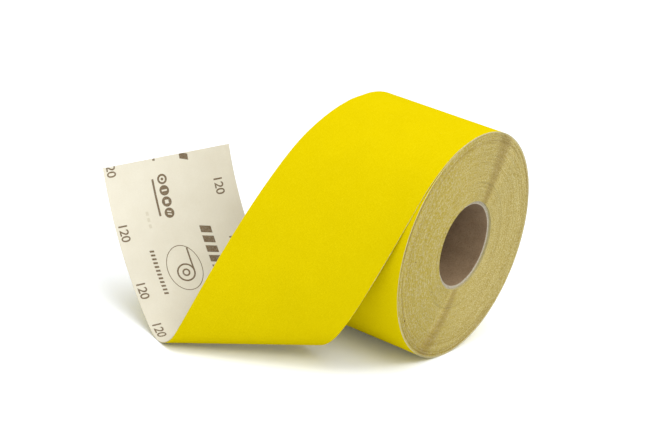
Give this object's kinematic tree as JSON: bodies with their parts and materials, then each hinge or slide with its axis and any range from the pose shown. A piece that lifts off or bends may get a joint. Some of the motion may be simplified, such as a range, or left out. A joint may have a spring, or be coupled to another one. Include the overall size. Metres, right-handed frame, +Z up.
{
  "type": "abrasive paper roll",
  "caption": "Roll of coated abrasive paper wound on a cardboard core, with its free end unrolled, folded under and standing up beside it.",
  "frame": {"origin": "centre of the core's bore, half way along it", "axes": "+Y along the core's axis; +Z up; the loose strip leaves the top of the roll towards -X and comes down to the floor"},
  "size_m": [0.2903, 0.254, 0.194],
  "materials": {
    "grain_coat": "matte, gritty yellow abrasive coat",
    "paper_backing": "matte cream paper",
    "wound_edges": "matte cut edges of many turns",
    "core_board": "matte brown board",
    "start_tape": "matte adhesive paper tape"
  },
  "bodies": {
    "outer_turn": {"outer_turn_grain": "grain_coat", "outer_turn_backing": "paper_backing"},
    "roll": {"core_inner_ply": "core_board", "core_middle_ply": "core_board", "core_outer_ply": "core_board", "start_tape": "start_tape", "wound_pack": "wound_edges", "second_turn_grain": "grain_coat", "second_turn_backing": "paper_backing"},
    "tail": {"tail_grain": "grain_coat", "tail_backing": "paper_backing", "curl_grain": "grain_coat", "curl_backing": "paper_backing"},
    "free_end": {"flap_grain": "grain_coat", "flap_backing": "paper_backing"}
  },
  "joints": [
    {"name": "unroll", "type": "hinge", "parent": "outer_turn", "child": "roll", "pos_m": [0, 0, 0], "axis": [0, 1, 0], "continuous": true},
    {"name": "tail_lift", "type": "hinge", "parent": "outer_turn", "child": "tail", "pos_m": [-0.02764, 0, 0.09272], "axis": [0, 1, 0], "range_deg": [0, 60], "stiffness_Nm_per_rad": 0.05},
    {"name": "end_curl", "type": "hinge", "parent": "tail", "child": "free_end", "pos_m": [-0.13339, 0.07502, -0.08866], "axis": [0.8317, -0.5434, 0.1138], "range_deg": [-38, 40], "stiffness_Nm_per_rad": 0.08}
  ]
}
